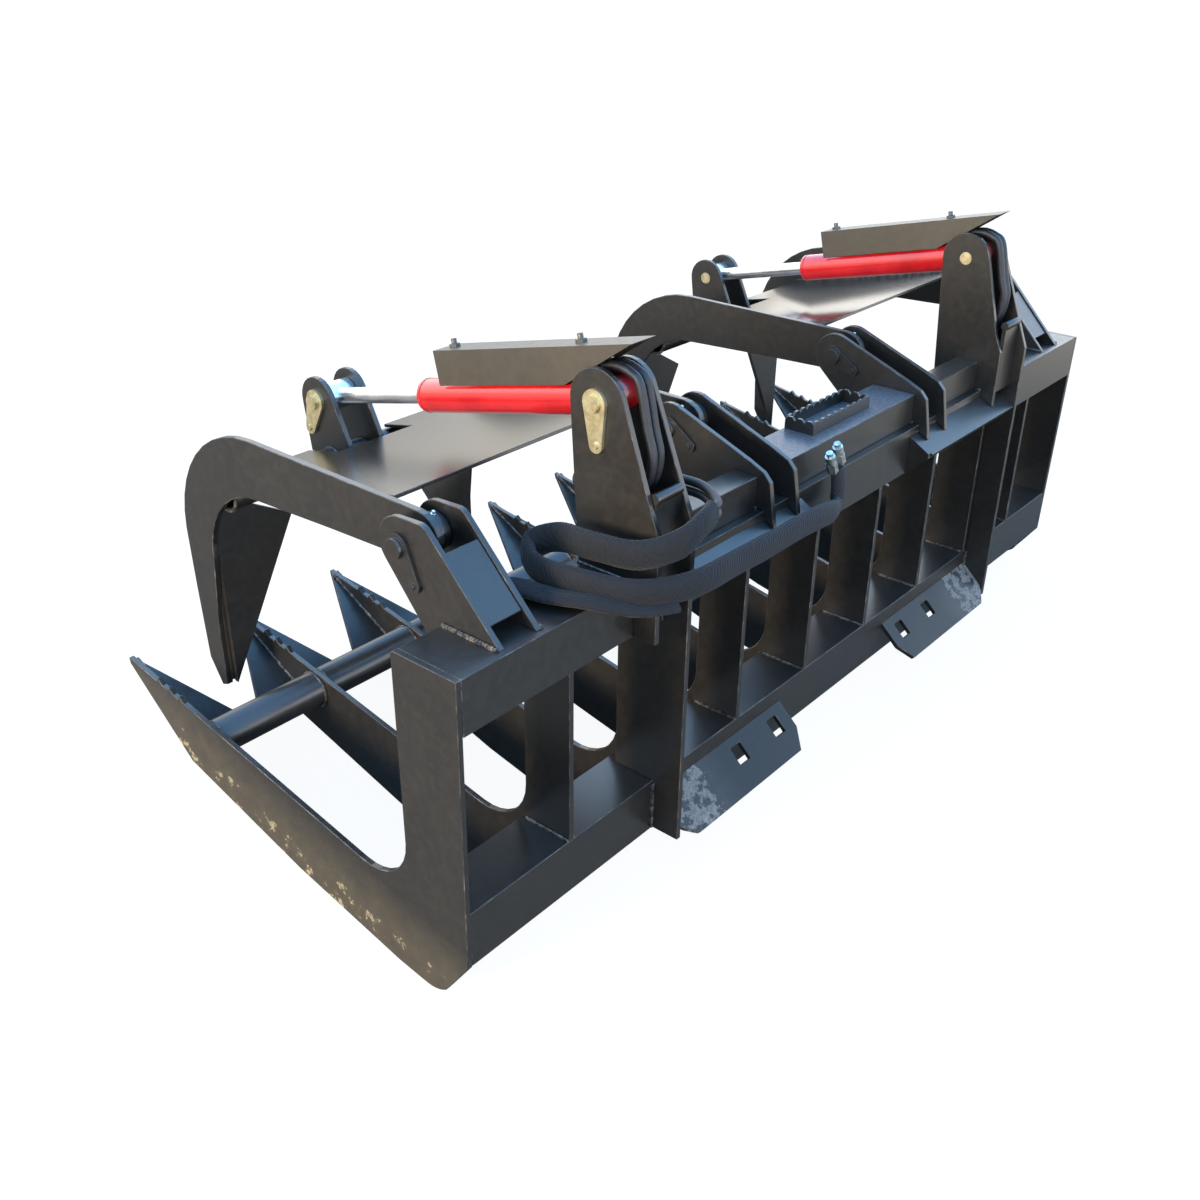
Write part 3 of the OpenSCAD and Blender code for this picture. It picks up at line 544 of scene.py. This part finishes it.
HINGE_PIN = (-200, 96)
BOSS_RADIUS = 29
NIPPLE_PROFILE = [(-1, 4.2), (2.6, 4.2), (3, 3.4), (3.2, 2.2), (4.6, 2.2), (5.4, 3), (6.6, 3), (7.6, 1.8), (7.9, 0.9)]
NIPPLE_TILT = math.radians(12)
nipple_axis = at(0, math.sin(NIPPLE_TILT), math.cos(NIPPLE_TILT)) - at(0, 0, 0)
for side_name, side in (("left", 1), ("right", -1)):
    for number, boss_x in enumerate((863.75, 288.25), 1):
        foot = at(side * boss_x, HINGE_PIN[0], HINGE_PIN[1]) + nipple_axis.normalized() * BOSS_RADIUS * MM
        nipple = turned(f"{side_name}_grease_nipple_{number}", foot, nipple_axis, NIPPLE_PROFILE, 12)
        nipple.data.materials.append(zinc)
        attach(nipple, f"grapple_{side_name}")
print("turned parts made")

# %% [markdown]
# ## The woven sleeve
# Behind the near tower both hoses go into a flat woven nylon sleeve, which keeps them from rubbing. It crosses
# the tower, doubles back at its outer side and lies along the top lip as far as the couplers. Nylon weave is
# matt, nearly black and slightly fuzzy, and it crumples into fine ribs where it turns.

# %% Woven nylon and the sleeve
SLEEVE_WIDTH = 46
SLEEVE_THICK = 24
STRAP_FROM = 0.62
STRAP_TURN = 0.8


def woven_nylon(name):
    material, shader, place = new_material(name)
    weave_lines = add_node(material, "ShaderNodeTexWave",
                           {"Vector": place, "Scale": 1 / (12 * MM), "Distortion": 3.0, "Detail": 3.0},
                           wave_type="BANDS", bands_direction="DIAGONAL")
    fuzz = speckle(material, place, 4, detail=6)
    soft = speckle(material, place, 70)
    colour = blend_colour(material, soft, "#161719", "#2b2c2f")
    lit = add_node(material, "ShaderNodeMix", {0: 0.3}, data_type="RGBA", blend_type="OVERLAY")
    link(material, colour, lit.inputs[6])
    link(material, ramp(material, fuzz, [(0.3, "#404040"), (0.7, "#b0b0b0")]), lit.inputs[7])
    link(material, lit.outputs[2], shader.inputs["Base Color"])
    shader.inputs["Roughness"].default_value = 0.8
    shader.inputs["Specular IOR Level"].default_value = 0.3
    shader.inputs["Sheen Weight"].default_value = 0.1
    link(material, bump(material, weave_lines.outputs["Fac"], 1.0, 0.7), shader.inputs["Normal"])
    return material


weave = woven_nylon("woven_nylon")
DRAWN_UP = STAND.to_3x3() @ Vector((0, 0, 1))
DRAWN_REAR = STAND.to_3x3() @ Vector((0, 1, 0))


def sleeve_thin_side(share, along):
    """The sleeve stands on edge in its loops, and lies flat on the beam's rear face at its end."""
    flat = min(max((share - STRAP_FROM) / (STRAP_TURN - STRAP_FROM), 0), 1)
    return along.cross(DRAWN_UP).normalized() * (1 - flat) + DRAWN_REAR * flat


def crumple(share):
    """The sleeve shrinks to a strap at its end, and carries fine ribs near the tower."""
    ribs = 0.03 * math.sin(share * 900) * max(0.0, 1 - abs(share - 0.12) * 5)
    lumps = 0.07 * noise.noise(Vector((share * 22, 0.3, 0.7)))
    strap = min(max((share - STRAP_FROM) / (1 - STRAP_FROM), 0), 1)
    return 1 + ribs + lumps - 0.3 * strap, 1 + ribs * 0.5 + lumps - 0.2 * strap


def lead_thin_side(share, along):
    """The lead lies flat on the beam."""
    return Vector((1, 0, 0)).cross(along)


def sleeve_piece(name, points, thick, width, steps, thin_side, swell=None):
    line = smooth_line([at(*p) for p in points], steps)
    piece = swept_tube(name, line, thick * MM, width * MM, 20, thin_side, swell)
    piece.data.materials.append(weave)
    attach(piece, "frame")
    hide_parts("hose_sleeve")
    print(name, round(line_length(line), 3), "m")
    return piece


sleeve_piece("hose_sleeve_wrap", SLEEVE_ROUTE, SLEEVE_THICK, SLEEVE_WIDTH, 20, sleeve_thin_side, crumple)
sleeve_piece("hose_lead", LEAD_ROUTE, 18, 40, 10, lead_thin_side)

# %% [markdown]
# ## Weld beads
# The bucket is stick-welded by hand and painted over. A fillet bead is a row of overlapping ripples, each a few
# millimetres long. A chain of short cones gives that, and one mesh holds all the beads of a body.

# %% A chain of ripples
BEAD_SIZE = 7.5
RIPPLE = 6.0


def add_bead(mesh, points, size=BEAD_SIZE):
    """One bead along the points, which are in the upright drawing's millimetres."""
    for a, b in zip(points, points[1:]):
        start, end = at(*a), at(*b)
        along = end - start
        count = max(1, round(along.length / (RIPPLE * MM)))
        aim = along.to_track_quat("Z", "Y").to_matrix().to_4x4()
        for i in range(count):
            middle = start + along * ((i + 0.5) / count)
            swell = 1 + 0.16 * noise.noise(middle * 90)
            radius = size * MM / 2 * swell
            bmesh.ops.create_cone(
                mesh, cap_ends=True, segments=6, radius1=radius * 0.8, radius2=radius,
                depth=along.length / count * 1.15, matrix=Matrix.Translation(middle) @ aim)


def ring_points(x, y, z, radius, count=18):
    """A ring about an axis along X."""
    turns = [2 * math.pi * i / count for i in range(count + 1)]
    return [(x, y + radius * math.cos(a), z + radius * math.sin(a)) for a in turns]


# %% Painted weld
def painted_weld(name):
    material, shader, place = new_material(name)
    patch = speckle(material, place, 9, detail=6)
    colour = ramp(material, patch, [(0.4, "#2b2a2b"), (0.56, "#6d665c"), (0.72, "#a89c86")])
    link(material, colour, shader.inputs["Base Color"])
    shader.inputs["Roughness"].default_value = 0.42
    shader.inputs["Metallic"].default_value = 0.15
    return material


weld_finish = painted_weld("painted_weld")

# %% [markdown]
# The beads follow the places where the plates meet: the feet of ears and towers, the spade wings, the tube,
# the legs and the lips. The numbers are the drawing's own sizes.

# %% Beads on the frame
HALF_WIDTH = 1016
TINE_THICK = 10
TINE_GAP = (2 * HALF_WIDTH - TINE_THICK) / 9
EAR_OUT = 41.5
OUTER_ARM_X = 882
INNER_ARM_X = 270
COUPLER_HALF = 572
TUBE_Y, TUBE_Z, TUBE_R = -622, -379, 31.75
tine_places = [-HALF_WIDTH + TINE_THICK / 2 + TINE_GAP * i for i in range(10)]
beads = bmesh.new()
for arm_x in (-OUTER_ARM_X, -INNER_ARM_X, INNER_ARM_X, OUTER_ARM_X):
    for out in (-EAR_OUT - 2, EAR_OUT + 2):
        add_bead(beads, [(arm_x + out, -119, 2), (arm_x + out, -14, 2)])
for x in (COUPLER_HALF - 2, COUPLER_HALF + 82, -COUPLER_HALF + 72, -COUPLER_HALF - 12):
    add_bead(beads, [(x, -108, 1), (x, -2, 1)], 6)
for number, x in enumerate(tine_places):
    for side in (-1, 1):
        face = x + side * (TINE_THICK / 2 + 1)
        if abs(face) < HALF_WIDTH - TINE_THICK / 2:
            add_bead(beads, [(face, -838, -303), (face, -656, -401)], 6.5)
            add_bead(beads, ring_points(face + side * 1.5, TUBE_Y, TUBE_Z, TUBE_R + 1.5), 6)
            if 0 < number < 9:
                add_bead(beads, [(face, -95, -398.5), (face, -6, -398.5)], 6)
for side in (-1, 1):
    for x in (COUPLER_HALF - 2, COUPLER_HALF + 12):
        add_bead(beads, [(side * x, -3, -495), (side * x, -3, -402)])
    add_bead(beads, [(side * (COUPLER_HALF + 12), 2, -89), (side * (COUPLER_HALF + 12), 2, -2)], 6)
weld_frame = finished_piece("weld_beads_frame", beads, smooth=False)
weld_frame.data.materials.append(weld_finish)
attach(weld_frame, "frame")
print("frame beads", len(weld_frame.data.polygons), "faces")

# %% Beads on the grapples
SHEET_REAR = (-267, 135)
SHEET_FRONT = (-690, 40.5)
CROSS = (-688, 8)
ARM_HALF_THICK = 6
WING_ROOT = [(-753, -372), (-753, -250), (-744, -180), (-744, -368)]


def prism(name, outline, low_x, high_x):
    """A flat bar with this [Y, Z] outline in the drawing, from low_x to high_x."""
    mesh = bmesh.new()
    face = mesh.faces.new([mesh.verts.new(at(low_x, y, z)) for y, z in outline])
    grown = bmesh.ops.extrude_face_region(mesh, geom=[face])["geom"]
    moved = [g for g in grown if isinstance(g, bmesh.types.BMVert)]
    bmesh.ops.translate(mesh, verts=moved, vec=at(high_x, 0, 0) - at(low_x, 0, 0))
    bmesh.ops.bevel(mesh, geom=mesh.edges[:], offset=EDGE_WIDTH, segments=2, affect="EDGES")
    bmesh.ops.recalc_face_normals(mesh, faces=mesh.faces)
    return finished_piece(name, mesh, smooth=False)


for side_name, side in (("left", 1), ("right", -1)):
    beads = bmesh.new()
    for arm_x, inward in ((OUTER_ARM_X, -1), (INNER_ARM_X, 1)):
        face = side * (arm_x + inward * (ARM_HALF_THICK + 1))
        add_bead(beads, [(face, *SHEET_REAR), (face, *SHEET_FRONT)], 6)
        add_bead(beads, ring_points(face, *CROSS, 23.5), 6)
        root = sorted(side * (arm_x + inward * deep) for deep in (ARM_HALF_THICK - 3, ARM_HALF_THICK + 6))
        strip = prism(f"{side_name}_wing_root_{int(arm_x)}", WING_ROOT, *root)
        strip.data.materials.append(paint)
        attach(strip, f"grapple_{side_name}")
    for out in (-41, 41):
        add_bead(beads, ring_points(TOWER_X[side_name] + out, *CROSS, 23.5), 6)
    welds = finished_piece(f"weld_beads_{side_name}_grapple", beads, smooth=False)
    welds.data.materials.append(weld_finish)
    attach(welds, f"grapple_{side_name}")
    print(welds.name, len(welds.data.polygons), "faces")

# %% [markdown]
# ## Floor, backdrop and light
# The photograph is cut out on white, so the floor and the sky behind it are white to the camera. The light is
# an open bright day: a broad soft key from the left and behind the camera, and a weak fill.

# %% The stage
WHITE = hex_colour("#ffffff")


def stage_white(name):
    """White to the camera, with the bucket's soft shadow. Other rays meet a concrete yard."""
    material = bpy.data.materials.new(name)
    material.use_nodes = True
    material.node_tree.nodes.clear()
    path = add_node(material, "ShaderNodeLightPath")
    cloth = add_node(material, "ShaderNodeBsdfDiffuse", {"Color": hex_colour("#e6e0d8")})
    glow = add_node(material, "ShaderNodeEmission", {"Color": WHITE, "Strength": 1.3})
    shown = add_node(material, "ShaderNodeMixShader", {"Fac": 0.7, 1: cloth.outputs[0], 2: glow.outputs[0]})
    shade = add_node(material, "ShaderNodeBsdfDiffuse", {"Color": hex_colour("#5c5954")})
    near_yard = add_node(material, "ShaderNodeBsdfDiffuse", {"Color": hex_colour("#b3aa9c")})
    far_yard = add_node(material, "ShaderNodeEmission", {"Color": hex_colour("#e6e0d4"), "Strength": 1.6})
    place = add_node(material, "ShaderNodeTexCoord").outputs["Object"]
    away = add_node(material, "ShaderNodeVectorMath", {0: place}, operation="LENGTH").outputs["Value"]
    concrete = add_node(material, "ShaderNodeMixShader",
                        {"Fac": ramp_between(material, away, 2.4, 4.5), 1: near_yard.outputs[0],
                         2: far_yard.outputs[0]})
    yard = add_node(material, "ShaderNodeMixShader",
                    {"Fac": path.outputs["Is Glossy Ray"], 1: shade.outputs[0], 2: concrete.outputs[0]})
    mixed = add_node(material, "ShaderNodeMixShader",
                     {"Fac": path.outputs["Is Camera Ray"], 1: yard.outputs[0], 2: shown.outputs[0]})
    add_node(material, "ShaderNodeOutputMaterial", {"Surface": mixed.outputs[0]})
    return material


FLOOR_SIZE = 60
sheet = bmesh.new()
bmesh.ops.create_grid(sheet, x_segments=1, y_segments=1, size=FLOOR_SIZE / 2)
floor_mesh = bpy.data.meshes.new("floor")
sheet.to_mesh(floor_mesh)
sheet.free()
floor = bpy.data.objects.new("floor", floor_mesh)
floor.data.materials.append(stage_white("white_floor"))
bpy.context.scene.collection.objects.link(floor)

world = bpy.data.worlds.new("sky")
bpy.context.scene.world = world
world.use_nodes = True
world.node_tree.nodes.clear()
sky_path = add_node(world, "ShaderNodeLightPath")
sky_place = add_node(world, "ShaderNodeTexCoord")
sky_height = add_node(world, "ShaderNodeSeparateXYZ", {"Vector": sky_place.outputs["Generated"]}).outputs["Z"]
SKY_BANDS = [(0.0, "#c3beb5"), (0.08, "#c8c5bf"), (0.24, "#dddedf"), (0.42, "#b2cbe8"), (0.62, "#88bff2"),
             (1.0, "#72acee")]
sky_colour = ramp(world, sky_height, SKY_BANDS)
light_sky = add_node(world, "ShaderNodeBackground", {"Color": sky_colour, "Strength": 1.25})
mirror_sky = add_node(world, "ShaderNodeBackground", {"Color": sky_colour, "Strength": 4.6})
seen_sky = add_node(world, "ShaderNodeBackground", {"Color": WHITE, "Strength": 1.0})
other_sky = add_node(world, "ShaderNodeMixShader",
                     {"Fac": sky_path.outputs["Is Glossy Ray"], 1: light_sky.outputs[0], 2: mirror_sky.outputs[0]})
sky_mix = add_node(world, "ShaderNodeMixShader",
                   {"Fac": sky_path.outputs["Is Camera Ray"], 1: other_sky.outputs[0], 2: seen_sky.outputs[0]})
add_node(world, "ShaderNodeOutputWorld", {"Surface": sky_mix.outputs[0]})


def soft_lamp(name, place, target, size, power, colour):
    lamp_data = bpy.data.lights.new(name, "AREA")
    lamp_data.shape = "DISK"
    lamp_data.size = size
    lamp_data.energy = power
    lamp_data.color = hex_colour(colour)[:3]
    lamp = bpy.data.objects.new(name, lamp_data)
    bpy.context.scene.collection.objects.link(lamp)
    aim = (Vector(target) - Vector(place)).to_track_quat("-Z", "Y")
    lamp.matrix_world = Matrix.Translation(place) @ aim.to_matrix().to_4x4()
    return lamp


soft_lamp("key", (6.0, -0.7, 1.6), (0, 0.1, 0.4), 1.6, 340, "#ffecd2")
soft_lamp("rear fill", (1.0, 5.0, 1.4), (0, 0.2, 0.4), 3.0, 60, "#eef2ff")
bpy.context.scene.view_settings.view_transform = "Standard"
